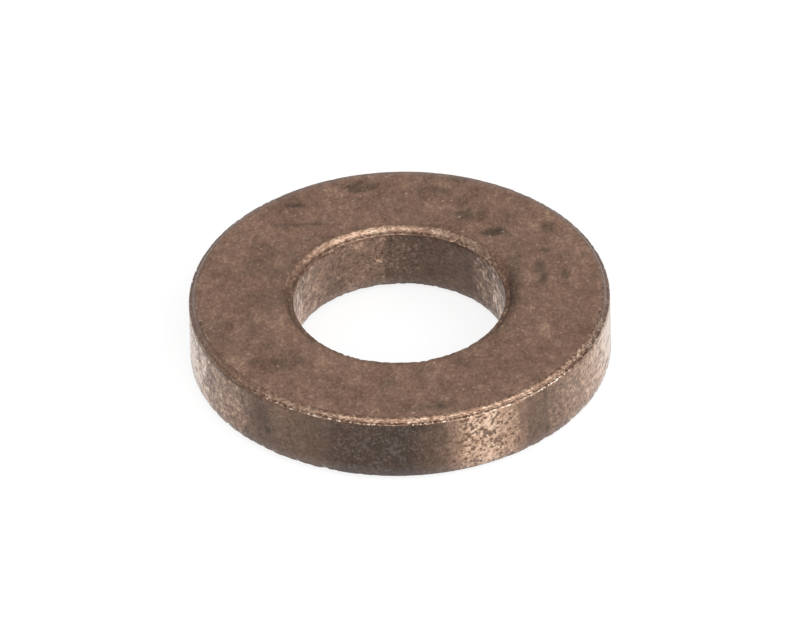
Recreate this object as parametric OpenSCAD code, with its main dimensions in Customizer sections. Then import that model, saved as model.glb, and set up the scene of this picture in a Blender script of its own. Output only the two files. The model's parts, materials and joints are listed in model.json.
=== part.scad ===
// Thrust spacer: a flat ring pressed from bronze powder and sintered, in one piece.
// It runs on a shaft and takes end load between its two flat faces.
// Every rim has the form that the press leaves: a bevel that curves from face to wall,
// a narrow flat land beside it, and a small round at the wall.
// Millimetres. The origin is the centre of the lower face, and +Z runs along the bore.

/* [Ring] */
// Outside diameter of the ring
outer_d = 25.4; // [22:0.1:40]
// Diameter of the bore, a running fit on its shaft
bore_d = 12.8; // [8:0.1:15]
// Thickness between the two thrust faces
thickness = 4.45; // [3:0.05:10]

/* [Rims] */
// Width of the bevel round the outer rims, seen from above
outer_bevel = 0.28; // [0.1:0.01:0.6]
// Width of the flat land that the punch leaves beside the outer bevel
outer_land = 0.1; // [0.04:0.01:0.25]
// How far the outer bevel's slope runs to each side of its mean, in degrees
outer_curve = 35; // [5:1:38]
// Width of the bevel round the bore's rims, seen from above
bore_bevel = 0.3; // [0.1:0.01:0.6]
// Width of the flat land beside the bore's bevel
bore_land = 0.15; // [0.04:0.01:0.25]
// How far the bore bevel's slope runs to each side of its mean, in degrees
bore_curve = 12; // [5:1:38]
// Mean slope of the bevels below the thrust face, in degrees
bevel_angle = 45; // [40:1:50]
// Radius of the rounded edge between land and wall
edge_radius = 0.1; // [0.04:0.01:0.2]

/* [Hidden] */

// How far a cut runs past the metal that it takes off
overcut = 1;
// Segments of the finished turn and of an edge round
turn_segments = 180;
round_segments = 32;

outer_r = outer_d / 2;
bore_r = bore_d / 2;
bronze = [0.56, 0.44, 0.37];

// What is taken off one corner of the section, with the corner at the origin
// and the metal to the left of it and below.
module rim_cut(bevel, land, curve) {
    depth = bevel * tan(bevel_angle);
    land_start = edge_radius + land;
    bevel_start = land_start + bevel;
    gentlest = bevel_angle - curve;
    bevel_radius = bevel / (sin(bevel_angle + curve) - sin(gentlest));
    // Bevel and land
    difference() {
        polygon([
            [-bevel_start - overcut / tan(bevel_angle), overcut],
            [-land_start, -depth],
            [overcut, -depth],
            [overcut, overcut]
        ]);
        translate([-bevel_start - bevel_radius * sin(gentlest), -bevel_radius * cos(gentlest)])
            circle(r = bevel_radius, $fn = turn_segments);
    }
    // Round between land and wall
    difference() {
        translate([-edge_radius, -depth - edge_radius])
            square([edge_radius + overcut, edge_radius + overcut]);
        translate([-edge_radius, -depth - edge_radius])
            circle(r = edge_radius, $fn = round_segments);
    }
}

// Both rims of the upper side, as they lie in the section
module upper_rim_cuts() {
    translate([outer_r, thickness])
        rim_cut(outer_bevel, outer_land, outer_curve);
    translate([bore_r, thickness])
        mirror([1, 0])
            rim_cut(bore_bevel, bore_land, bore_curve);
}

// Section of the ring to the right of its axis. The two sides are alike.
module ring_section() {
    difference() {
        translate([bore_r, 0])
            square([outer_r - bore_r, thickness]);
        upper_rim_cuts();
        translate([0, thickness])
            mirror([0, 1])
                upper_rim_cuts();
    }
}

module thrust_spacer() {
    color(bronze)
        rotate_extrude($fn = turn_segments)
            ring_section();
}

thrust_spacer();
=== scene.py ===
import json
import math

import bpy
import numpy as np
from mathutils import Matrix, Vector, noise


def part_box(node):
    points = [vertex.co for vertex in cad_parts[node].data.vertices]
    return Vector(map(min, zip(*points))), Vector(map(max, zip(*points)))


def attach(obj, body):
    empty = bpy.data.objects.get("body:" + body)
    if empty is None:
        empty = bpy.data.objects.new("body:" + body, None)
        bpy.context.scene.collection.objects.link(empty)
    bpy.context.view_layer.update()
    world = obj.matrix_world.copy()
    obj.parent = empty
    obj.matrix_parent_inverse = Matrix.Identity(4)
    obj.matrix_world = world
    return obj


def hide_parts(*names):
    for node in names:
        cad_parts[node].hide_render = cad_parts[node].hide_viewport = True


# A thrust spacer: one ring of pressed and sintered bronze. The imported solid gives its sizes,
# and the ring below has the same form, with chipped rims and a worn, porous and stained surface.
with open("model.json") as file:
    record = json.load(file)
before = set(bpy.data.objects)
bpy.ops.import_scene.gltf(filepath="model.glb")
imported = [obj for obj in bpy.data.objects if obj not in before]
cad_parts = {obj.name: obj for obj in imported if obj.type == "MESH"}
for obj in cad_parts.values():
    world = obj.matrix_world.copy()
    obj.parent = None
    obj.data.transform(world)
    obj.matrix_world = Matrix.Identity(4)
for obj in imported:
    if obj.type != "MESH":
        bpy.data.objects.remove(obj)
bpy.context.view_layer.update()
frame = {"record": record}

MM = 0.001
NODE = "thrust_spacer"

# Sizes of the ring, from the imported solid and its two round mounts
lowest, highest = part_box(NODE)
mounts = {m["name"]: m for m in frame["record"]["mounts"]}
outer_r = (highest.x - lowest.x) / 2
bore_r = mounts["bore"]["dims"]["r_mm"] * MM
thickness = highest.z - lowest.z
outer_rim_depth = (thickness - mounts["outer_wall"]["dims"]["length_mm"] * MM) / 2
bore_rim_depth = (thickness - mounts["bore"]["dims"]["length_mm"] * MM) / 2
EDGE_RADIUS = 0.1 * MM
# The bevels' mean slope. Then the flat land beside each bevel, and how far its slope runs to each
# side of the mean as it curves from face to land.
MEAN_SLOPE = math.radians(45)
OUTER_LAND, OUTER_CURVE = 0.1 * MM, math.radians(35)
BORE_LAND, BORE_CURVE = 0.15 * MM, math.radians(12)

# The camera, as fitted to the photograph's outlines
IMAGE_W, IMAGE_H = 800, 640
RING_RADIUS_PX = 210.6
RING_CENTRE_PX = (400.05, 323.0)
CAMERA_DISTANCE = 1.6
CAMERA_ELEVATION = math.radians(37.1)
CAMERA_ROLL = math.radians(1.5)


def add_object(name, data):
    """An object in the scene that holds the mesh, camera or lamp."""
    added = bpy.data.objects.new(name, data)
    bpy.context.scene.collection.objects.link(added)
    return added


def make_camera():
    """A very long lens that looks down at the ring, with the camera turned clockwise a little."""
    look = Vector((0, math.cos(CAMERA_ELEVATION), -math.sin(CAMERA_ELEVATION)))
    level = Vector((1, 0, 0))
    above = level.cross(look)
    right = math.cos(CAMERA_ROLL) * level - math.sin(CAMERA_ROLL) * above
    up = right.cross(look)
    metres_per_px = outer_r / RING_RADIUS_PX
    aside = (IMAGE_W / 2 - RING_CENTRE_PX[0]) * metres_per_px
    higher = (RING_CENTRE_PX[1] - IMAGE_H / 2) * metres_per_px
    middle = Vector((0, 0, thickness / 2))
    data = bpy.data.cameras.new("camera")
    data.sensor_fit = "HORIZONTAL"
    data.lens = data.sensor_width * CAMERA_DISTANCE / (IMAGE_W * metres_per_px)
    camera = add_object("camera", data)
    place = middle - look * CAMERA_DISTANCE + right * aside + up * higher
    turn = Matrix((right, up, -look)).transposed().to_4x4()
    camera.matrix_world = Matrix.Translation(place) @ turn
    bpy.context.scene.camera = camera


# The ring's section, as rings of points in order round it

# Segments of the rings of points round the axis, and steps along the stretches of the section
RIM_SEGMENTS, FACE_SEGMENTS = 1280, 640
BEVEL_STEPS, LAND_STEPS, ROUND_STEPS = 7, 2, 3
TOP_FACE_STEPS, LOW_FACE_STEPS = 34, 8
OUTER_WALL_STEPS, BORE_WALL_STEPS = 10, 14


def rim_points(at, way, level, up, depth, land, curve):
    """A rim from its face to its wall as (radius, height, zone): way points into the metal,
    and up is 1 on the upper side and -1 on the lower one. Its ends belong to face and wall."""
    bevel = depth - EDGE_RADIUS
    start = MEAN_SLOPE - curve
    end = MEAN_SLOPE + curve
    reach = bevel / (math.sin(end) - math.sin(start))
    points = []
    for step in range(BEVEL_STEPS):
        slope = start + (end - start) * step / BEVEL_STEPS
        inward = EDGE_RADIUS + land + bevel - reach * (math.sin(slope) - math.sin(start))
        down = reach * (math.cos(start) - math.cos(slope))
        points.append((at + way * inward, level - up * down, "bevel" if step else "face"))
    for step in range(LAND_STEPS):
        inward = EDGE_RADIUS + land * (1 - step / LAND_STEPS)
        points.append((at + way * inward, level - up * bevel, "land"))
    for step in range(ROUND_STEPS + 1):
        angle = math.radians(90 * step / ROUND_STEPS)
        radius = at + way * EDGE_RADIUS * (1 - math.sin(angle))
        down = bevel + EDGE_RADIUS * (1 - math.cos(angle))
        points.append((radius, level - up * down, "round" if step < ROUND_STEPS else "wall"))
    return points


def between(start, end, steps, zone):
    """Points between two others, without them."""
    shares = np.arange(1, steps) / steps
    return [
        (start[0] + (end[0] - start[0]) * s, start[1] + (end[1] - start[1]) * s, zone) for s in shares
    ]


def ring_section():
    """Each ring of points as (radius, height, zone, segments), once round the section."""
    outer = (outer_rim_depth, OUTER_LAND, OUTER_CURVE)
    bore = (bore_rim_depth, BORE_LAND, BORE_CURVE)
    outer_top = rim_points(outer_r, -1, highest.z, 1, *outer)
    outer_low = rim_points(outer_r, -1, lowest.z, -1, *outer)[::-1]
    bore_low = rim_points(bore_r, 1, lowest.z, -1, *bore)
    bore_top = rim_points(bore_r, 1, highest.z, 1, *bore)[::-1]
    stretches = [
        (outer_top, RIM_SEGMENTS),
        (between(outer_top[-1], outer_low[0], OUTER_WALL_STEPS, "wall"), RIM_SEGMENTS),
        (outer_low, RIM_SEGMENTS),
        (between(outer_low[-1], bore_low[0], LOW_FACE_STEPS, "face"), FACE_SEGMENTS),
        (bore_low, FACE_SEGMENTS),
        (between(bore_low[-1], bore_top[0], BORE_WALL_STEPS, "wall"), FACE_SEGMENTS),
        (bore_top, FACE_SEGMENTS),
        (between(bore_top[-1], outer_top[0], TOP_FACE_STEPS, "face"), FACE_SEGMENTS),
    ]
    return [(*point, segments) for points, segments in stretches for point in points]


def section_normals(rows):
    """The outward direction (radius, height) at each ring of points."""
    places = np.array([row[:2] for row in rows])
    along = np.roll(places, -1, 0) - places
    along /= np.linalg.norm(along, axis=1)[:, None]
    smooth = along + np.roll(along, 1, 0)
    smooth /= np.linalg.norm(smooth, axis=1)[:, None]
    return np.stack([-smooth[:, 1], smooth[:, 0]], 1)


def band_zone(a, b):
    """The zone of the band between rings of points in zones a and b."""
    return next(zone for zone in ("bevel", "land", "round", "face", "wall") if zone in (a, b))


def band_faces(a, m, b, n):
    """The faces between a ring of m points from index a and one of n points from index b.
    They are quads where m is n. Where one is twice the other, they are three triangles for each
    segment of the coarser ring."""
    if m == n:
        k = np.arange(m)
        after = (k + 1) % m
        return np.stack([a + k, a + after, b + after, b + k], 1).tolist()
    faces = []
    for k in range(min(m, n)):
        after = (k + 1) % min(m, n)
        if m > n:
            f0, f1, f2 = a + 2 * k, a + 2 * k + 1, a + 2 * after
            faces += [[f0, f1, b + k], [f1, b + after, b + k], [f1, f2, b + after]]
        else:
            f0, f1, f2 = b + 2 * k, b + 2 * k + 1, b + 2 * after
            faces += [[a + k, f1, f0], [a + k, a + after, f1], [a + after, f2, f1]]
    return faces


class Ring:
    """The points of the ring, row by row, with what the wear and the colours need to know of them."""

    def __init__(self):
        rows = ring_section()
        normals = section_normals(rows)
        counts = [row[3] for row in rows]
        starts = np.concatenate([[0], np.cumsum(counts)])
        turn = np.concatenate([np.arange(c) * 2 * math.pi / c for c in counts])
        cos, sin = np.cos(turn), np.sin(turn)
        out_r, out_z = np.repeat(normals, counts, 0).T
        self.radius = np.repeat([row[0] for row in rows], counts)
        self.height = np.repeat([row[1] for row in rows], counts)
        self.zone = np.repeat([row[2] for row in rows], counts)
        self.co = np.stack([self.radius * cos, self.radius * sin, self.height], 1)
        self.out = np.stack([out_r * cos, out_r * sin, out_z], 1)
        self.bearing = (np.degrees(turn) + 90 + 180) % 360 - 180
        self.is_outer = self.radius > (outer_r + bore_r) / 2
        self.is_upper = self.height > thickness / 2
        self.faces, self.face_zones = [], []
        for i, row in enumerate(rows):
            j = (i + 1) % len(rows)
            band = band_faces(starts[i], row[3], starts[j], rows[j][3])
            self.faces += band
            self.face_zones += [band_zone(row[2], rows[j][2])] * len(band)


# Noise at the points of the mesh

# How far apart the noise of two seeds lies along X, Y and Z
SEED_SHIFTS = (13.7, 7.9, 5.3)


def lumps(points, size, seed):
    """Smooth noise from about -1 to 1 with lumps about as large as size."""
    shift = Vector([seed * s for s in SEED_SHIFTS])
    return np.array([noise.noise(Vector(p) + shift) for p in points / size])


def layered(points, layers):
    """The sum of layers of noise, each given as (weight, size, seed)."""
    return sum(weight * lumps(points, size, seed) for weight, size, seed in layers)


# Where the surface is bright, dark, spotted or stained

# Bearings go round the ring in degrees from the camera's side, 90 on the right and -90 on the left.
# Each row of a wall's zones is a bearing, the tone there from 0, dark, to 1, bright, how strong its
# mottling is, and how dense its open pores, its small grey flakes and its whitish marks are. The tone
# is partly the wall's own oil, oxide and burnish, and partly painted reflection and painted shade of
# the surroundings. The whitish marks are painted reflection of the white surroundings: speckles on the
# outer wall and upright streaks in the bore.
# The walls' sheen adds to the whitish ends that the photograph shows.
OUTER_ZONES = [
    # From behind round to the left, which the photograph doesn't show
    (-180, 0.5, 0.5, 0.3, 0.1, 0), (-168, 0.78, 0.5, 0.9, 0, 0), (-150, 0.72, 0.5, 0.7, 0, 0),
    (-140, 0.35, 0.3, 0, 0.3, 0), (-118, 0.25, 0.3, 0, 0.8, 0), (-102, 0.56, 0.6, 0.3, 0, 0),
    # The whitish left end, partly painted reflection
    (-90, 0.68, 1.4, 0.1, 0, 1.2), (-84, 0.84, 2.3, 0.1, 0, 2.4), (-74, 0.63, 2.0, 0.1, 0, 1.2),
    (-68, 0.65, 1.3, 0.1, 0, 0.8), (-63, 0.56, 1.0, 0.1, 0, 0.4),
    # Middling beside it, to an upright border
    (-56, 0.5, 0.7, 0.1, 0, 0), (-50.5, 0.49, 0.6, 0.1, 0, 0), (-49.5, 0.42, 0.7, 0.3, 0, 0),
    (-47.5, 0.37, 0.5, 0.1, 0, 0), (-46, 0.31, 0.3, 0, 0, 0),
    # Plain brown
    (-43, 0.25, 0.25, 0, 0, 0), (-35, 0.32, 0.25, 0, 0, 0), (-24, 0.25, 0.2, 0, 0, 0),
    # The darkest stretch, partly painted shade, with grey flakes
    (-17, 0.06, 0.25, 0, 0.8, 0), (-10, 0.02, 0.3, 0, 1.1, 0), (2, 0.0, 0.3, 0, 0.8, 0),
    (8, 0.2, 0.35, 0, 0.1, 0), (11.5, 0.31, 0.25, 0, 0, 0),
    # The bright stretch, partly burnished and partly painted reflection, with many open pores
    (13, 0.47, 0.3, 0.3, 0, 0), (15, 0.57, 0.4, 0.8, 0, 0), (18, 0.79, 0.6, 1.05, 0, 0),
    (25, 0.88, 0.6, 1.0, 0, 0), (29, 0.71, 0.55, 0.7, 0, 0), (33.2, 0.6, 0.45, 0.5, 0, 0),
    # Two brown steps with sharp borders
    (33.7, 0.49, 0.2, 0, 0, 0), (35.9, 0.46, 0.2, 0, 0, 0),
    (36.3, 0.37, 0.2, 0, 0, 0), (43.2, 0.34, 0.2, 0, 0, 0),
    # Brighter and brighter, partly painted reflection, to the whitish right end
    (44, 0.45, 0.4, 0.2, 0, 0), (56, 0.57, 0.6, 0.1, 0, 0), (64, 0.67, 0.9, 0.1, 0, 0.2),
    (72, 0.76, 1.0, 0.1, 0, 0.7), (82, 0.87, 1.9, 0.1, 0, 2.1), (90, 0.7, 1.3, 0.1, 0, 1.2),
    # From the right round to behind, which the photograph doesn't show
    (104, 0.56, 0.6, 0.3, 0, 0), (118, 0.3, 0.3, 0, 0.3, 0), (140, 0.25, 0.3, 0, 0.8, 0),
    (152, 0.6, 0.5, 0.8, 0, 0), (166, 0.45, 0.4, 0.3, 0, 0), (180, 0.5, 0.5, 0.3, 0.1, 0),
]
BORE_ZONES = [
    # Opposite the camera, to an upright border
    (-180, 0.25, 0.55, 0.3, 0.3, 0), (-173.3, 0.26, 0.5, 0.4, 0.2, 0),
    # The brown stretch on the left
    (-172.3, 0.36, 0.45, 0.3, 0, 0), (-165, 0.43, 0.4, 0.2, 0, 0), (-150, 0.48, 0.4, 0.2, 0, 0),
    (-143, 0.44, 0.4, 0.1, 0, 0), (-134, 0.49, 0.45, 0.1, 0, 0),
    # The left end, with whitish streaks of painted reflection
    (-120, 0.57, 0.75, 0.1, 0, 0.2), (-112, 0.57, 0.9, 0.1, 0, 0.85), (-100, 0.6, 0.8, 0.2, 0, 1.5),
    # The near half, which the photograph doesn't show
    (-86, 0.45, 0.6, 0.3, 0, 0.1), (-20, 0.3, 0.5, 0, 0.4, 0), (20, 0.5, 0.6, 0.4, 0, 0),
    (60, 0.4, 0.5, 0, 0, 0), (92, 0.4, 0.7, 0.1, 0, 0.1),
    # The right end, with whitish streaks of painted reflection, to an upright border
    (102, 0.45, 0.9, 0.3, 0, 1.0), (116, 0.51, 1.1, 0.4, 0, 1.2), (122, 0.39, 1.0, 0.4, 0, 0.3),
    (129, 0.4, 0.7, 0.2, 0, 0.5), (134.5, 0.32, 0.6, 0.2, 0, 0.2),
    # The dark stretch on the right, partly painted shade
    (135.5, 0.23, 0.3, 0.1, 0, 0), (137, 0.2, 0.2, 0, 0.1, 0), (165, 0.19, 0.3, 0, 0.3, 0),
    (175, 0.22, 0.55, 0.4, 0.6, 0), (180, 0.25, 0.55, 0.3, 0.3, 0),
]
# Marks of the two walls: bearing, height of the middle in mm, width and height of the mark in mm,
# and how much darker it is, or brighter where that is below 0. The small bright marks in the bore
# are painted glints, and the bright marks at the walls' whitish ends are painted reflection.
OUTER_MARKS = [
    (-66, 2.6, 1.6, 1.6, 0.1), (-58, 3.9, 1.1, 0.6, 0.12), (-82, 1.2, 3.4, 2.2, -0.2),
    (-79, 3.4, 3.4, 1.2, 0.2), (-86, 3.0, 1.4, 0.7, 0.2), (-74, 2.8, 1.0, 0.8, 0.1),
    (-49.4, 3.4, 0.5, 1.0, 0.15), (-39.4, 1.8, 0.35, 0.4, 0.3), (-37.5, 3.7, 1.4, 0.5, -0.07),
    (42.7, 3.4, 0.3, 1.0, 0.1), (43.2, 1.1, 0.25, 0.7, 0.1), (47, 3.6, 1.6, 0.8, 0.06),
    (5, 3.2, 1.0, 1.2, -0.06),
]
BORE_MARKS = [
    (-142, 1.2, 1.2, 1.1, 0.12), (-157.5, 3.6, 0.9, 0.7, -0.14), (-141, 4.0, 0.35, 0.25, -0.5),
    (-169.5, 2.2, 0.35, 0.25, -0.45), (-172, 3.7, 0.3, 0.25, -0.35), (170, 3.3, 0.3, 0.3, -0.2),
    (-163, 1.0, 1.6, 1.0, 0.08), (-111, 1.3, 1.2, 1.8, -0.2), (-105, 2.8, 0.8, 2.0, -0.08),
    (107.5, 1.0, 0.7, 1.6, -0.28), (113.5, 3.0, 0.8, 1.4, -0.08),
]
# A darker band along the top edge of the outer wall: bearing, and how much of it there is
EDGE_DARKENING = [
    (-110, 0), (-88, 1.0), (-72, 1.0), (-50, 0.9), (-46, 0.2), (-40, 0), (50, 0), (60, 0.4),
    (80, 0.7), (100, 0),
]
# The upper side's rims: bearing, tones of the bevel, the land and the edge round, how spotted
# all three are, and how dense the painted glints on the round are. The tones are partly the rims'
# own burnish and partly painted highlight and painted shade.
OUTER_RIM = [
    # Dull behind and on the left, partly painted shade
    (-180, 0.42, 0.48, 0.42, 0.5, 0), (-100, 0.42, 0.48, 0.42, 0.5, 0),
    (-60, 0.46, 0.48, 0.46, 0.5, 0.1), (-44, 0.51, 0.5, 0.5, 0.65, 0.4),
    # Bright in front, partly painted highlight
    (-38, 0.62, 0.54, 0.52, 0.9, 0.9), (-20, 0.55, 0.51, 0.48, 0.9, 1.1),
    (10, 0.56, 0.54, 0.5, 1.0, 1.1), (18, 0.59, 0.52, 0.61, 1.1, 0.8),
    (38, 0.58, 0.51, 0.62, 1.1, 1.1), (47, 0.55, 0.47, 0.52, 1.0, 1.6),
    # Most spotted on the right, then dull again
    (50, 0.54, 0.45, 0.46, 1.1, 1.3), (54, 0.51, 0.43, 0.38, 1.2, 0.3),
    (62, 0.5, 0.43, 0.36, 1.3, 0.3), (66, 0.48, 0.43, 0.36, 1.3, 1.0),
    (72, 0.46, 0.43, 0.4, 1.1, 0.3), (84, 0.44, 0.46, 0.42, 0.6, 0),
    (180, 0.42, 0.48, 0.42, 0.5, 0),
]
BORE_RIM = [
    # From opposite the camera to the left end, brightest a quarter of the way along, partly painted
    # highlight
    (-180, 0.53, 0.55, 0.46, 0.8, 0.2), (-172, 0.57, 0.55, 0.48, 0.8, 0.3),
    (-165, 0.64, 0.57, 0.48, 0.8, 0.3), (-157, 0.7, 0.62, 0.52, 0.7, 0.3),
    (-150, 0.67, 0.6, 0.48, 0.7, 0.1), (-145, 0.62, 0.55, 0.45, 0.7, 0),
    (-135, 0.55, 0.48, 0.38, 0.7, 0), (-126, 0.53, 0.49, 0.38, 0.7, 0),
    (-115, 0.52, 0.49, 0.39, 0.7, 0), (-105, 0.48, 0.46, 0.39, 0.7, 0),
    # Dull on the near side
    (-90, 0.43, 0.42, 0.38, 0.6, 0), (0, 0.42, 0.46, 0.42, 0.6, 0),
    (70, 0.44, 0.46, 0.44, 0.6, 0), (105, 0.46, 0.48, 0.44, 0.6, 0),
    # Brighter again on the right, partly painted highlight
    (116, 0.46, 0.49, 0.49, 0.7, 0), (124, 0.5, 0.46, 0.54, 0.7, 0),
    (135, 0.57, 0.48, 0.5, 0.8, 0), (145, 0.62, 0.53, 0.52, 0.9, 0.1),
    (158, 0.6, 0.58, 0.46, 0.9, 0.1), (168, 0.53, 0.57, 0.32, 0.8, 0),
    (175, 0.52, 0.55, 0.36, 0.8, 0), (180, 0.53, 0.55, 0.46, 0.8, 0.2),
]
# Olive-grey stains of the upper face: x, y, length and width in mm, bearing of the length in
# degrees from +X, and how dark they are
TOP_STAINS = [
    # Behind on the left, and on the left
    (-2.2, 10.8, 2.0, 0.9, 0, 0.6), (-3.4, 11.0, 0.9, 0.4, -20, 0.3), (-6.1, 9.15, 1.1, 0.4, 0, 0.6),
    (-5.9, 7.2, 2.4, 0.25, 0, 0.4), (-7.6, 3.2, 3.4, 3.2, 60, 0.2), (-7.9, -0.2, 2.6, 2.2, 0, 0.2),
    # In front on the left
    (-6.9, -6.4, 1.8, 1.6, 0, 0.33), (-8.8, -6.5, 1.0, 0.5, 0, 0.3),
    (-10.8, -3.2, 2.6, 1.6, 80, 0.25), (-8.0, -4.5, 1.4, 0.9, 70, 0.25),
    # Behind on the right
    (5.8, 5.9, 1.2, 0.7, 10, 0.8), (6.6, 5.8, 0.6, 0.5, 0, 0.4), (4.1, 7.8, 1.2, 0.9, 0, 0.5),
    (5.1, 7.7, 0.5, 0.9, 0, 0.4), (3.9, 9.0, 0.6, 0.9, 0, 0.4), (2.6, 10.2, 1.2, 0.8, 0, 0.25),
    (1.5, 9.6, 0.5, 1.5, 0, 0.3), (3.6, 11.4, 1.0, 0.4, -15, 0.5), (9.1, 6.3, 0.8, 1.0, 0, 0.5),
    # On the right
    (8.5, 2.4, 0.5, 1.4, 0, 0.6), (8.7, 1.2, 0.5, 0.9, 0, 0.6), (8.8, 4.0, 0.4, 0.4, 0, 0.5),
    (10.0, 1.4, 0.4, 0.8, 0, 0.5), (8.4, 0.6, 1.0, 0.6, 0, 0.25), (6.95, 1.2, 0.8, 4.8, 0, 0.4),
    # In front, and in front on the right
    (6.3, -3.5, 0.9, 0.8, 0, 0.3), (3.8, -6.9, 1.6, 1.0, 0, 0.25), (1.9, -11.2, 1.5, 0.9, 0, 0.4),
    (3.0, -11.0, 0.5, 0.9, 0, 0.3), (-0.5, -9.0, 1.0, 0.9, 0, 0.25), (8.2, -8.8, 0.8, 0.5, 20, 0.35),
]
# How the borders of the zones waver, in degrees, and the outlines of stains and marks, in half
# widths of theirs: layers of noise as (weight, size, seed)
BORDER_WAVER = [(0.6, 0.7 * MM, 1), (0.5, 0.3 * MM, 2)]
STAIN_WAVER = [(0.5, 0.5 * MM, 3), (0.3, 0.25 * MM, 8)]
MARK_WAVER = [(0.5, 0.4 * MM, 11), (0.3, 0.2 * MM, 12)]
# How far from its middle a stain or a mark ends, in half widths of it
STAIN_END, MARK_END = 1.6, 1.5
# How much darker a full stain makes the face and the upper rims
FACE_STAIN, RIM_STAIN = 0.3, 0.5
# How fast a darker mark takes the painted reflection speckles away
MARK_ON_REFLECTION_SPECKLES = 2
# The tone of the faces, and the brightest one of the lower rims
FACE_TONE, LOW_RIM_TONE = 0.46, 0.2
# How far below the face the bevels have their full tone, and how much that varies
OUTER_FADE, BORE_FADE, FADE_UNEVEN = 0.11 * MM, 0.08 * MM, 0.5
# Near its foot the bore's bevel is less bright: the least share of its shine, and how high that
# reaches
BORE_FOOT_SHINE, BORE_FOOT_REACH = 0.2, 0.1 * MM
# The darker ring on the face round the bore's rim: how much darker, and how wide
BORE_RING_DARKER, BORE_RING_WIDTH = 0.08, 0.4 * MM
# How spotted bevel, land and round are for a rim's spots of 1, and how much of the round's
# painted glints the land has
BEVEL_SPOTS, LAND_SPOTS, ROUND_SPOTS = 0.8, 1.0, 1.1
LAND_PAINTED_GLINTS = 0.4
# The grey haze of the upper side's outer edge: how strong, how wide, and how soft. It comes in
# between one pair of bearings to each side, and grows wider between the other pair.
EDGE_HAZE, EDGE_HAZE_WIDTH, EDGE_HAZE_SOFT = 0.7, 0.5 * MM, 0.2 * MM
EDGE_HAZE_BEARINGS = (60, 90)
WIDER_HAZE, WIDER_HAZE_BEARINGS = 0.35 * MM, (110, 150)
# How high the painted floor reflection of the lower side reaches up the walls
LOW_REFLECTION_HEIGHT = 1.1 * MM


def rise(value, start, full):
    """0 up to start, then evenly up to 1 at full, and 1 from there on."""
    return np.clip((value - start) / (full - start), 0, 1)


def blot(along, across, waver, end):
    """A soft blot: 1 in its middle and 0 past its wavering outline. The distances from its middle
    are in widths of the blot, and its end is in half widths."""
    away = np.hypot(along, across) * 2 + waver
    return np.clip(end - away, 0, 1)


def stained(ring):
    """How far each point of the upper face lies in the stains, from 0 to the stain's darkness."""
    x, y = ring.co[:, 0] / MM, ring.co[:, 1] / MM
    waver = layered(ring.co, STAIN_WAVER)
    most = np.zeros(len(x))
    for at_x, at_y, length, width, bearing, darkness in TOP_STAINS:
        a = math.radians(bearing)
        along = (x - at_x) * math.cos(a) + (y - at_y) * math.sin(a)
        across = (y - at_y) * math.cos(a) - (x - at_x) * math.sin(a)
        most = np.maximum(most, darkness * blot(along / length, across / width, waver, STAIN_END))
    return np.where(ring.is_upper, most, 0)


def wall_marked(ring):
    """How much darker or brighter each point of the walls is for their marks."""
    waver = layered(ring.co, MARK_WAVER)
    total = np.zeros(len(ring.radius))
    for side, marks in ((ring.is_outer, OUTER_MARKS), (~ring.is_outer, BORE_MARKS)):
        here = side & (ring.zone == "wall")
        for bearing, height, width, tall, darker in marks:
            across = np.radians(ring.bearing - bearing) * ring.radius / MM
            along = ring.height / MM - height
            total += here * darker * blot(along / tall, across / width, waver, MARK_END)
    return total


def by_bearing(bearing, rows):
    """The values of a table at each bearing, column by column."""
    bearings, *columns = np.array(rows).T
    return [np.interp(bearing, bearings, column) for column in columns]


def bevel_shine(ring):
    """How much of its bevel's own tone, which is partly painted highlight, each point has. It is less
    beside the face, and in the bore at the foot of the bevel too."""
    fade = np.where(ring.is_outer, OUTER_FADE, BORE_FADE)
    fade = fade * (1 + FADE_UNEVEN * lumps(ring.co, 0.3 * MM, 13))
    below_face = (highest.z - ring.height) / fade
    over_foot = (ring.height - highest.z + bore_rim_depth - EDGE_RADIUS) / BORE_FOOT_REACH
    shine = np.where(ring.is_outer, 1, np.clip(over_foot, BORE_FOOT_SHINE, 1))
    return np.clip(below_face, 0, 1) * shine


def hazed_and_reflecting(ring):
    """How much grey lies on the upper side's outer edge as haze, and on the lower side and the walls'
    feet as painted floor reflection.
    """
    bearing = np.abs(ring.bearing)
    width = EDGE_HAZE_WIDTH + WIDER_HAZE * rise(bearing, *WIDER_HAZE_BEARINGS)
    edge = np.clip((ring.radius - outer_r + width) / EDGE_HAZE_SOFT, 0, 1)
    edge_haze = EDGE_HAZE * edge * rise(bearing, *EDGE_HAZE_BEARINGS)
    floor_reflection = np.clip(1 - ring.height / LOW_REFLECTION_HEIGHT, 0, 1)
    return np.where(ring.is_upper & (ring.zone != "wall"), edge_haze, floor_reflection)


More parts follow.
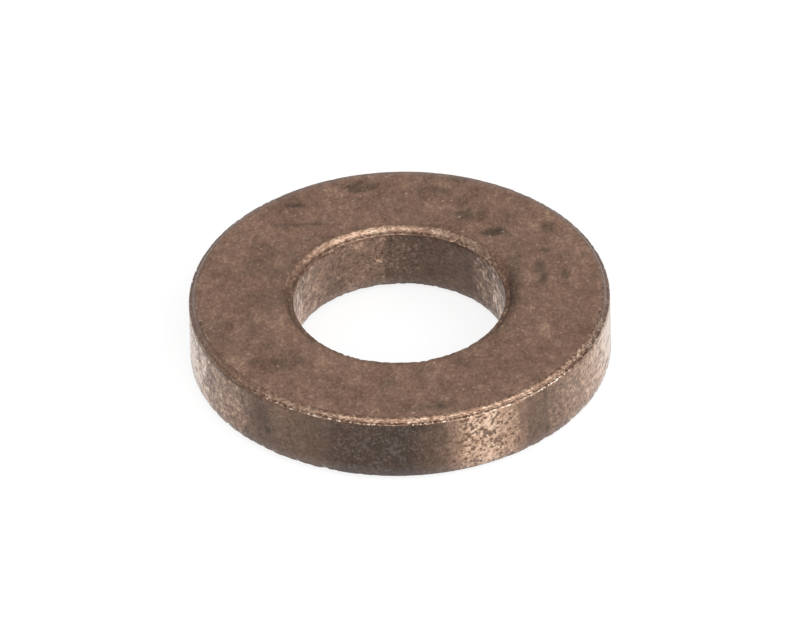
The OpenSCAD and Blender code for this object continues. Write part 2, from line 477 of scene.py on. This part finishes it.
def surface(ring):
    """What each point's finish depends on, by name."""
    bearing = (ring.bearing + layered(ring.co, BORDER_WAVER) + 180) % 360 - 180
    tone, mottle, pores, flakes, painted_whitish = np.where(
        ring.is_outer, by_bearing(bearing, OUTER_ZONES), by_bearing(bearing, BORE_ZONES)
    )
    bevel, land, edge_round, spotted, painted_glinting = np.where(
        ring.is_outer, by_bearing(bearing, OUTER_RIM), by_bearing(bearing, BORE_RIM)
    )
    top_darkening = by_bearing(bearing, EDGE_DARKENING)[0]
    marks = wall_marked(ring)
    stain = stained(ring)
    is_wall, is_face, is_bevel, is_land, is_round = (
        ring.zone == zone for zone in ("wall", "face", "bevel", "land", "round")
    )
    bevel = FACE_TONE + (bevel - FACE_TONE) * bevel_shine(ring)
    upper_rim = np.select([is_bevel, is_land], [bevel, land], edge_round) - RIM_STAIN * stain
    rim = np.where(ring.is_upper, upper_rim, np.minimum(tone, LOW_RIM_TONE))
    past_bore = ring.radius - (bore_r + bore_rim_depth + BORE_LAND)
    bore_ring = BORE_RING_DARKER * np.clip(1 - past_bore / BORE_RING_WIDTH, 0, 1)
    face = FACE_TONE - FACE_STAIN * stain - bore_ring
    rim_spots = [share * spotted for share in (BEVEL_SPOTS, LAND_SPOTS, ROUND_SPOTS)]
    # Painted glints on the edge rounds, and fewer on the lands
    painted_glints = np.select([is_round, is_land], [painted_glinting, LAND_PAINTED_GLINTS * painted_glinting], 0)
    return {
        "tone": np.select([is_wall, is_face], [tone - marks, face], rim),
        "mottle": np.select([is_bevel, is_land, is_round], rim_spots, mottle),
        "pores": pores,
        "flakes": flakes,
        # Painted reflection: whitish speckles on the outer wall and whitish streaks in the bore
        "reflection_speckles": np.where(ring.is_outer, painted_whitish, 0) * np.clip(1 - MARK_ON_REFLECTION_SPECKLES * marks, 0, 1),
        "reflection_streaks": np.where(ring.is_outer, 0, painted_whitish),
        "edge_darkening": np.where(ring.is_outer & ring.is_upper, top_darkening, 0),
        "stain": stain,
        "painted_glints": np.where(ring.is_upper, painted_glints, 0),
        "haze_and_floor_reflection": hazed_and_reflecting(ring),
    }


# Wear, with all depths and sizes in mm

# The depth of the gentle waves of every surface
WAVES = 0.004
# The depths of coarse and fine raggedness on lands and rounds, and on bevels
RIM_RAGGED, RIM_FINE = 0.045, 0.03
BEVEL_RAGGED, BEVEL_FINE = 0.015, 0.012
# How much more ragged the lower rims are than the upper ones
LOW_RIM_WEAR = 1.8
# Chips of all rims: how many, the seed of their draws, their sizes, and their depths as shares of
# the size
CHIPS, CHIP_SEED = 260, 7
CHIP_SIZES, CHIP_DEPTHS = (0.06, 0.2), (0.15, 0.35)
# Nicks in the lower outer rim: bearing and size, and their depth as a share of the size
LOW_NICKS = [
    (-41.5, 0.32), (-38.4, 0.35), (-30.5, 0.37), (-27.1, 0.33), (-22.2, 0.47), (-19.3, 0.37),
    (-12.2, 0.34), (-8.3, 0.32), (36.9, 0.37), (42.2, 0.35),
]
NICK_DEPTH = 0.4
# How far the middles of chips and nicks lie inside the corner that a rim would have if it were
# sharp, in metres
CHIP_INSET, NICK_INSET = 0.05 * MM, 0.18 * MM


def rim_corner(at_outer, at_top, bearing, inset):
    """The middle of a hollow in one of the four rims."""
    angle = math.radians(bearing - 90)
    radius = outer_r - inset if at_outer else bore_r + inset
    depth = (outer_rim_depth if at_outer else bore_rim_depth) - inset
    level = highest.z - depth if at_top else lowest.z + depth
    return np.array([radius * math.cos(angle), radius * math.sin(angle), level])


def chips_and_nicks():
    """The hollows of the rims, each as its middle, its size and its depth as a share of that."""
    rng = np.random.default_rng(CHIP_SEED)
    hollows = []
    for chip in range(CHIPS):
        at_outer = chip % 3 != 0
        at_top = chip % 2 == 0
        bearing = rng.uniform(0, 360)
        size = rng.uniform(*CHIP_SIZES)
        share = rng.uniform(*CHIP_DEPTHS)
        hollows.append((rim_corner(at_outer, at_top, bearing, CHIP_INSET), size, share))
    for bearing, size in LOW_NICKS:
        hollows.append((rim_corner(True, False, bearing, NICK_INSET), size, NICK_DEPTH))
    return hollows


def wear(ring):
    """How deep each point lies under the new surface: gentle waves, ragged rims, chips and nicks."""
    waves = WAVES * (1 + lumps(ring.co, 2.2 * MM, 4))
    ragged = np.clip(lumps(ring.co, 0.35 * MM, 5) + 0.1, 0, None)
    fine = np.clip(lumps(ring.co, 0.15 * MM, 6), 0, None)
    on_rims = np.isin(ring.zone, ("land", "round")) * np.where(ring.is_upper, 1.0, LOW_RIM_WEAR)
    on_bevels = ring.zone == "bevel"
    depth = waves + on_rims * (RIM_RAGGED * ragged + RIM_FINE * fine)
    depth += on_bevels * (BEVEL_RAGGED * ragged + BEVEL_FINE * fine)
    for centre, size, share in chips_and_nicks():
        near = np.abs(ring.co - centre).max(1) < size * MM
        away = np.linalg.norm(ring.co[near] - centre, axis=1) / (size * MM)
        depth[near] += size * share * np.clip(1 - away**2, 0, 1) ** 2
    return depth * MM


# Materials

def linear(*rgb):
    """A colour given as it shows on a screen, from 0 to 255, as a shader takes it."""
    shares = [c / 255 for c in rgb]
    return tuple(((s + 0.055) / 1.055) ** 2.4 if s > 0.04 else s / 12.92 for s in shares) + (1.0,)


PAINTED_FACE_GLINT = linear(215, 186, 164)
PAINTED_GLINT = linear(255, 240, 222)
PORE = linear(88, 60, 45)
GREY = linear(118, 105, 102)
PAINTED_REFLECTION_WHITE = linear(240, 228, 220)
REFLECTION_PINK_WHITE = linear(244, 220, 205)
HAZE_AND_FLOOR_REFLECTION = linear(150, 142, 142)
PALE_SPECK = linear(196, 180, 168)
COPPERY = linear(222, 160, 128)
EDGE_DARK = linear(84, 64, 48)
WARM_WHITE = (1.0, 0.9, 0.83, 1)
WHITE = (1, 1, 1, 1)
# The bronze from tone 0 to tone 1, where it is fresh and where it is tarnished
PINK_BRONZE = [
    (0.0, linear(73, 54, 44)), (0.25, linear(110, 83, 68)), (0.5, linear(149, 116, 98)),
    (0.75, linear(196, 159, 133)), (1.0, linear(244, 211, 184)),
]
OLIVE_BRONZE = [
    (0.0, linear(67, 54, 44)), (0.25, linear(101, 82, 68)), (0.5, linear(137, 114, 96)),
    (0.75, linear(188, 158, 132)), (1.0, linear(240, 210, 183)),
]
# How far the grain of the faces, the mottling and the smears of the walls, the painted reflection
# streaks of the bore and the spots of the rims are stretched along X, Y and Z
EVEN = (1, 1, 1)
FACE_GRAIN_LONGER = (1, 1.4, 1)
WALL_MOTTLE_LONGER = (1, 1.6, 1)
WALL_SMEARS_LONGER = (1, 5, 1)
REFLECTION_STREAKS_LONGER = (1, 1, 3.5)
RIM_SPOTS_LONGER = (1, 1, 0.5)
# Roughness where the tone is low and where it is high
FACE_ROUGHNESS, WALL_ROUGHNESS, RIM_ROUGHNESS = (0.66, 0.5), (0.5, 0.34), (0.48, 0.3)
# How far the pattern of each finish stands out
FACE_BUMP, WALL_BUMP, RIM_BUMP = 0.02 * MM, 0.02 * MM, 0.03 * MM
OUTER_SHEEN, BORE_SHEEN = 0.75, 0.06
# The darker band along the outer wall's top edge: how far below the edge round it starts and is
# full, how much that varies, and how dark it gets
EDGE_DARKENING_START, EDGE_DARKENING_FULL, EDGE_DARKENING_UNEVEN = 0.28 * MM, 0.16 * MM, 0.3 * MM
EDGE_DARKENING_STRENGTH = 0.9
# How far apart the noise of two seeds lies in its fourth dimension
SEED_STEP = 3.7


class Finish:
    """The nodes of one finish."""

    def __init__(self, name):
        self.material = bpy.data.materials.new(name)
        self.material.use_nodes = True
        self.nodes = self.material.node_tree.nodes
        self.links = self.material.node_tree.links
        self.shader = self.nodes["Principled BSDF"]
        self.place = self.nodes.new("ShaderNodeTexCoord").outputs["Object"]

    def feed(self, socket, value):
        """Give a socket a value, or link another socket to it."""
        if isinstance(value, bpy.types.NodeSocket):
            self.links.new(value, socket)
        else:
            socket.default_value = value

    def shade(self, values):
        """Give the shader's own sockets their values, by name."""
        for name, value in values.items():
            self.feed(self.shader.inputs[name], value)

    def calc(self, operation, a, b=0.0, clamp=False):
        """One step of arithmetic with two values."""
        node = self.nodes.new("ShaderNodeMath")
        node.operation = operation
        node.use_clamp = clamp
        self.feed(node.inputs[0], a)
        self.feed(node.inputs[1], b)
        return node.outputs[0]

    def times(self, a, b):
        return self.calc("MULTIPLY", a, b)

    def add_up(self, start, *terms):
        """start plus each pattern times its weight."""
        total = start
        for pattern, weight in terms:
            total = self.calc("ADD", total, self.times(pattern, weight))
        return total

    def span(self, value, low, high, to_low=0.0, to_high=1.0):
        """to_low where the value is low or less, to_high where it is high or more, even between."""
        node = self.nodes.new("ShaderNodeMapRange")
        self.feed(node.inputs["Value"], value)
        for name, v in zip(("From Min", "From Max", "To Min", "To Max"), (low, high, to_low, to_high)):
            self.feed(node.inputs[name], v)
        return node.outputs["Result"]

    def lumps(self, size, seed, detail=2.0, longer=EVEN, rough=0.5):
        """Noise around 0, with lumps about as large as size, longer along X, Y and Z as given."""
        place = self.place
        if longer != EVEN:
            scale = self.nodes.new("ShaderNodeVectorMath")
            scale.operation = "DIVIDE"
            self.feed(scale.inputs[0], place)
            scale.inputs[1].default_value = longer
            place = scale.outputs[0]
        node = self.nodes.new("ShaderNodeTexNoise")
        node.noise_dimensions = "4D"
        self.feed(node.inputs["Vector"], place)
        node.inputs["W"].default_value = seed * SEED_STEP
        node.inputs["Scale"].default_value = 1 / size
        node.inputs["Detail"].default_value = detail
        node.inputs["Roughness"].default_value = rough
        return self.calc("SUBTRACT", node.outputs["Fac"], 0.5)

    def blobs(self, size, seed, level, soft=0.05):
        """1 inside ragged blobs about as large as size, where noise from -0.5 to 0.5 is over level."""
        return self.span(self.lumps(size, seed, detail=1.5), level - soft, level + soft)

    def held(self, name):
        """A value that the mesh holds for each point."""
        node = self.nodes.new("ShaderNodeAttribute")
        node.attribute_name = name
        return node.outputs["Fac"]

    def height(self):
        """The height over the lower face."""
        node = self.nodes.new("ShaderNodeSeparateXYZ")
        self.feed(node.inputs[0], self.place)
        return node.outputs["Z"]

    def ramp(self, value, stops):
        """The colour of the stops, given as (value, colour), at a value from 0 to 1."""
        node = self.nodes.new("ShaderNodeValToRGB")
        self.feed(node.inputs[0], value)
        ends = node.color_ramp.elements
        while len(ends) < len(stops):
            ends.new(0.5)
        for end, (at, colour) in zip(ends, stops):
            end.position = at
            end.color = colour
        return node.outputs[0]

    def mix(self, share, a, b):
        """Colour a, with that share of colour b. The node's inputs 6 and 7 and output 2 are colours."""
        node = self.nodes.new("ShaderNodeMix")
        node.data_type = "RGBA"
        self.feed(node.inputs[0], share)
        self.feed(node.inputs[6], a)
        self.feed(node.inputs[7], b)
        return node.outputs[2]

    def cover(self, colour, pattern, strength, over):
        """The colour with another one over it, as strong as the pattern and the strength say."""
        return self.mix(self.times(pattern, strength), colour, over)

    def bronze(self, tone, olive):
        """Bronze of that tone, from pinkish to olive."""
        olive = self.calc("ADD", olive, 0.0, clamp=True)
        return self.mix(olive, self.ramp(tone, PINK_BRONZE), self.ramp(tone, OLIVE_BRONZE))

    def bump(self, height, depth):
        """Shade the surface as if the pattern stood out from it that far."""
        node = self.nodes.new("ShaderNodeBump")
        node.inputs["Strength"].default_value = 1.0
        node.inputs["Distance"].default_value = depth
        self.feed(node.inputs["Height"], height)
        self.feed(self.shader.inputs["Normal"], node.outputs["Normal"])


def face_finish():
    """The thrust faces: matt, pinkish brown with olive stains, fine grain, pale specks of painted glint,
    few pores.
    """
    f = Finish("bronze_face")
    cloudy = f.lumps(2.0 * MM, seed=1, detail=3.0, longer=FACE_GRAIN_LONGER, rough=0.85)
    grain = f.lumps(0.17 * MM, seed=3, detail=1.0, longer=FACE_GRAIN_LONGER)
    middling = f.lumps(0.45 * MM, seed=2, detail=1.0, longer=FACE_GRAIN_LONGER)
    tone = f.add_up(f.held("tone"), (cloudy, 0.6), (middling, 0.3), (grain, 0.42))
    patches = f.lumps(1.3 * MM, seed=5, detail=3.0, rough=0.8)
    dots = f.lumps(0.2 * MM, seed=9, detail=1.0)
    olive = f.add_up(0.12, (patches, 2.0), (dots, 1.4), (f.held("stain"), 1.3))
    colour = f.bronze(tone, olive)
    painted_face_glints = f.blobs(0.26 * MM, seed=6, level=0.2)
    pits = f.blobs(0.28 * MM, seed=7, level=0.19)
    # Pale specks: painted glints
    colour = f.cover(colour, painted_face_glints, 0.5, PAINTED_FACE_GLINT)
    colour = f.cover(colour, pits, 0.4, PORE)
    # Grey haze on the outer edge, and painted floor reflection on the lower side
    colour = f.cover(colour, f.held("haze_and_floor_reflection"), 0.4, HAZE_AND_FLOOR_REFLECTION)
    f.shade({
        "Base Color": colour,
        "Metallic": 0.6,
        "Roughness": f.span(tone, 0.2, 0.9, *FACE_ROUGHNESS),
    })
    f.bump(f.add_up(0.0, (cloudy, 0.5), (grain, 1.0), (pits, -0.5)), FACE_BUMP)
    return f.material


def wall_finish(name, sheen):
    """A wall: bright or dark by the tone, partly its own burnish and stains and partly painted
    reflection and shade, mottled, with open pores.
    """
    f = Finish(name)
    # The tone, with its mottling, and smears where the painted reflection speckles are
    broad = f.lumps(2.2 * MM, seed=10, detail=1.0)
    cloudy = f.lumps(0.9 * MM, seed=1, detail=4.0, rough=0.8)
    blots = f.lumps(0.28 * MM, seed=3, detail=2.5, longer=WALL_MOTTLE_LONGER)
    grain = f.lumps(0.13 * MM, seed=4, detail=1.0, longer=WALL_MOTTLE_LONGER)
    mottling = f.add_up(0.0, (blots, 1.3), (cloudy, 0.65), (grain, 0.6))
    smears = f.times(f.lumps(0.4 * MM, seed=16, longer=WALL_SMEARS_LONGER), f.held("reflection_speckles"))
    tone = f.add_up(f.held("tone"), (broad, 0.2), (cloudy, 0.25), (grain, 0.35))
    tone = f.add_up(tone, (mottling, f.held("mottle")), (smears, 2.0))
    # The bronze
    tarnish = f.lumps(1.2 * MM, seed=5, detail=4.0, rough=0.8)
    olive = f.add_up(0.85, (tarnish, 1.6), (f.held("tone"), -0.8))
    colour = f.bronze(tone, olive)
    brighter = f.add_up(tone, (f.held("tone"), -1.0))
    colour = f.mix(f.span(brighter, 0.1, 0.4, 0.0, 0.35), colour, PALE_SPECK)
    # Flakes, painted reflection streaks and speckles, and pores: each is where its noise, some broader
    # noise and its density at the point add up to enough
    flaky = f.add_up(
        f.lumps(0.2 * MM, seed=7, detail=1.5), (f.lumps(0.9 * MM, seed=9), 0.3), (f.held("flakes"), 0.1)
    )
    reflection_streaky = f.add_up(
        f.lumps(0.26 * MM, seed=11, detail=3.0, longer=REFLECTION_STREAKS_LONGER),
        (f.lumps(1.0 * MM, seed=12), 0.4), (f.held("reflection_streaks"), 0.06),
    )
    reflection_speckly = f.add_up(
        f.lumps(0.12 * MM, seed=13, detail=1.0), (f.lumps(0.6 * MM, seed=14), 0.5),
        (f.held("reflection_speckles"), 0.08),
    )
    porous = f.add_up(
        f.lumps(0.21 * MM, seed=6, detail=1.0), (f.lumps(0.9 * MM, seed=8), 0.4), (f.held("pores"), 0.14)
    )
    coppery = f.lumps(0.1 * MM, seed=15, detail=0.0)
    pores = f.span(porous, 0.12, 0.24)
    colour = f.cover(colour, f.span(flaky, 0.1, 0.25), 0.5, GREY)
    # Whitish streaks and speckles, with coppery specks among the speckles: painted reflection of the
    # white surroundings
    colour = f.cover(colour, f.span(reflection_streaky, 0.12, 0.22), f.held("reflection_streaks"), REFLECTION_PINK_WHITE)
    colour = f.cover(colour, f.span(reflection_speckly, 0.08, 0.25), f.held("reflection_speckles"), PAINTED_REFLECTION_WHITE)
    colour = f.cover(colour, f.span(coppery, 0.04, 0.2, 0.0, 0.3), f.held("reflection_speckles"), COPPERY)
    colour = f.cover(colour, pores, 0.8, PORE)
    # Painted floor reflection at the foot, and the darker band along the top edge
    colour = f.cover(colour, f.held("haze_and_floor_reflection"), 0.35, HAZE_AND_FLOOR_REFLECTION)
    edge = highest.z - outer_rim_depth
    at_height = f.add_up(f.height(), (f.lumps(0.5 * MM, seed=17), EDGE_DARKENING_UNEVEN))
    top_darkening = f.span(at_height, edge - EDGE_DARKENING_START, edge - EDGE_DARKENING_FULL, 0.0, EDGE_DARKENING_STRENGTH)
    colour = f.cover(colour, top_darkening, f.held("edge_darkening"), EDGE_DARK)
    f.shade({
        "Base Color": colour,
        "Metallic": 0.75,
        "Roughness": f.span(tone, 0.1, 0.9, *WALL_ROUGHNESS),
        "Sheen Weight": sheen,
        "Sheen Roughness": 0.25,
        "Sheen Tint": WARM_WHITE,
        "Coat Weight": 0.2,
        "Coat Roughness": 0.3,
    })
    f.bump(f.add_up(0.0, (blots, 1.0), (cloudy, 0.5), (pores, -0.3)), WALL_BUMP)
    return f.material


def rim_finish():
    """Bevels, lands and edge rounds: burnished by the punch, with spots, a tone that is partly painted
    highlight and shade, and painted glints.
    """
    f = Finish("bronze_rim")
    cloudy = f.lumps(0.6 * MM, seed=1, detail=3.0)
    grain = f.lumps(0.23 * MM, seed=2, longer=RIM_SPOTS_LONGER)
    fine = f.lumps(0.14 * MM, seed=3, detail=1.0, longer=RIM_SPOTS_LONGER)
    spots = f.add_up(0.0, (cloudy, 0.7), (grain, 1.3), (fine, 0.7))
    tone = f.add_up(f.held("tone"), (spots, f.held("mottle")))
    colour = f.bronze(tone, f.add_up(0.4, (cloudy, 2.0)))
    # Bright tones turn whitish, as a painted highlight
    colour = f.mix(f.span(tone, 0.5, 1.0, 0.0, 0.25), colour, PAINTED_REFLECTION_WHITE)
    # Painted glints on the rounds and lands
    painted_glinting = f.add_up(f.lumps(0.17 * MM, seed=4, detail=1.0), (f.held("painted_glints"), 0.1))
    colour = f.cover(colour, f.span(painted_glinting, 0.16, 0.25, 0.0, 0.85), f.held("painted_glints"), PAINTED_GLINT)
    # Grey haze on the outer edge, and painted floor reflection on the lower rims
    colour = f.cover(colour, f.held("haze_and_floor_reflection"), 0.4, HAZE_AND_FLOOR_REFLECTION)
    f.shade({
        "Base Color": colour,
        "Metallic": 0.9,
        "Roughness": f.span(tone, 0.2, 0.9, *RIM_ROUGHNESS),
    })
    f.bump(grain, RIM_BUMP)
    return f.material


# The place of each zone's material in the mesh, and of the bore wall's
ZONE_FINISHES = {"face": 0, "wall": 1, "bevel": 2, "land": 2, "round": 2}
BORE_WALL_FINISH = 3


def make_ring():
    """The worn ring, in place of the plain solid."""
    ring = Ring()
    worn = ring.co - ring.out * wear(ring)[:, None]
    mesh = bpy.data.meshes.new("ring")
    mesh.from_pydata(worn.tolist(), [], ring.faces)
    mesh.polygons.foreach_set("use_smooth", np.ones(len(ring.faces), bool))
    mesh.materials.append(face_finish())
    mesh.materials.append(wall_finish("bronze_outer_wall", OUTER_SHEEN))
    mesh.materials.append(rim_finish())
    mesh.materials.append(wall_finish("bronze_bore_wall", BORE_SHEEN))
    for polygon, face, zone in zip(mesh.polygons, ring.faces, ring.face_zones):
        in_bore = zone == "wall" and not ring.is_outer[face[0]]
        polygon.material_index = BORE_WALL_FINISH if in_bore else ZONE_FINISHES[zone]
    for name, values in surface(ring).items():
        held = mesh.attributes.new(name, "FLOAT", "POINT")
        held.data.foreach_set("value", values.astype(np.float32))
    piece = add_object("ring", mesh)
    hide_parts(NODE)
    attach(piece, "root")
    print("ring: points", len(ring.co), "triangles", sum(len(face) - 2 for face in ring.faces))


# Studio

FLOOR_HALF = 4.0
FLOOR_COLOUR = (0.28, 0.28, 0.28, 1)
# How strongly the floor glows to the camera and in reflections, to show there as white
FLOOR_GLOW = 0.8
WORLD_STRENGTH = 0.62


def make_floor():
    """A plain white floor that goes on past the view, and shows the ring's shadow."""
    corners = [(x * FLOOR_HALF, y * FLOOR_HALF, 0) for x, y in ((-1, -1), (1, -1), (1, 1), (-1, 1))]
    data = bpy.data.meshes.new("floor")
    data.from_pydata(corners, [], [(0, 1, 2, 3)])
    floor = add_object("floor", data)
    f = Finish("white_floor")
    rays = f.nodes.new("ShaderNodeLightPath").outputs
    seen = f.calc("ADD", rays["Is Camera Ray"], rays["Is Glossy Ray"])
    seen = f.calc("ADD", seen, rays["Is Transmission Ray"], clamp=True)
    f.shade({
        "Base Color": FLOOR_COLOUR,
        "Roughness": 1.0,
        "Specular IOR Level": 0.0,
        "Emission Color": WHITE,
        "Emission Strength": f.times(seen, FLOOR_GLOW),
    })
    data.materials.append(f.material)


def soft_lamp(name, bearing, elevation, distance, size, power):
    """A lamp that faces the ring from that bearing, with size as (across, along)."""
    a, e = math.radians(bearing), math.radians(elevation)
    way = Vector((math.sin(a) * math.cos(e), -math.cos(a) * math.cos(e), math.sin(e)))
    data = bpy.data.lights.new(name, "AREA")
    data.shape = "RECTANGLE"
    data.size, data.size_y = size
    data.energy = power
    lamp = add_object(name, data)
    lamp.location = way * distance
    lamp.rotation_euler = way.to_track_quat("Z", "Y").to_euler()


def make_world():
    """Even white light from all around."""
    world = bpy.data.worlds.new("studio")
    bpy.context.scene.world = world
    world.use_nodes = True
    background = world.node_tree.nodes["Background"]
    background.inputs["Color"].default_value = WHITE
    background.inputs["Strength"].default_value = WORLD_STRENGTH


make_camera()
make_ring()
make_floor()
make_world()
soft_lamp("key_lamp", bearing=18, elevation=35, distance=0.9, size=(2.0, 0.8), power=8.0)
soft_lamp("side_lamp", bearing=95, elevation=30, distance=0.9, size=(0.8, 0.8), power=1.5)
bpy.context.scene.view_settings.view_transform = "Standard"
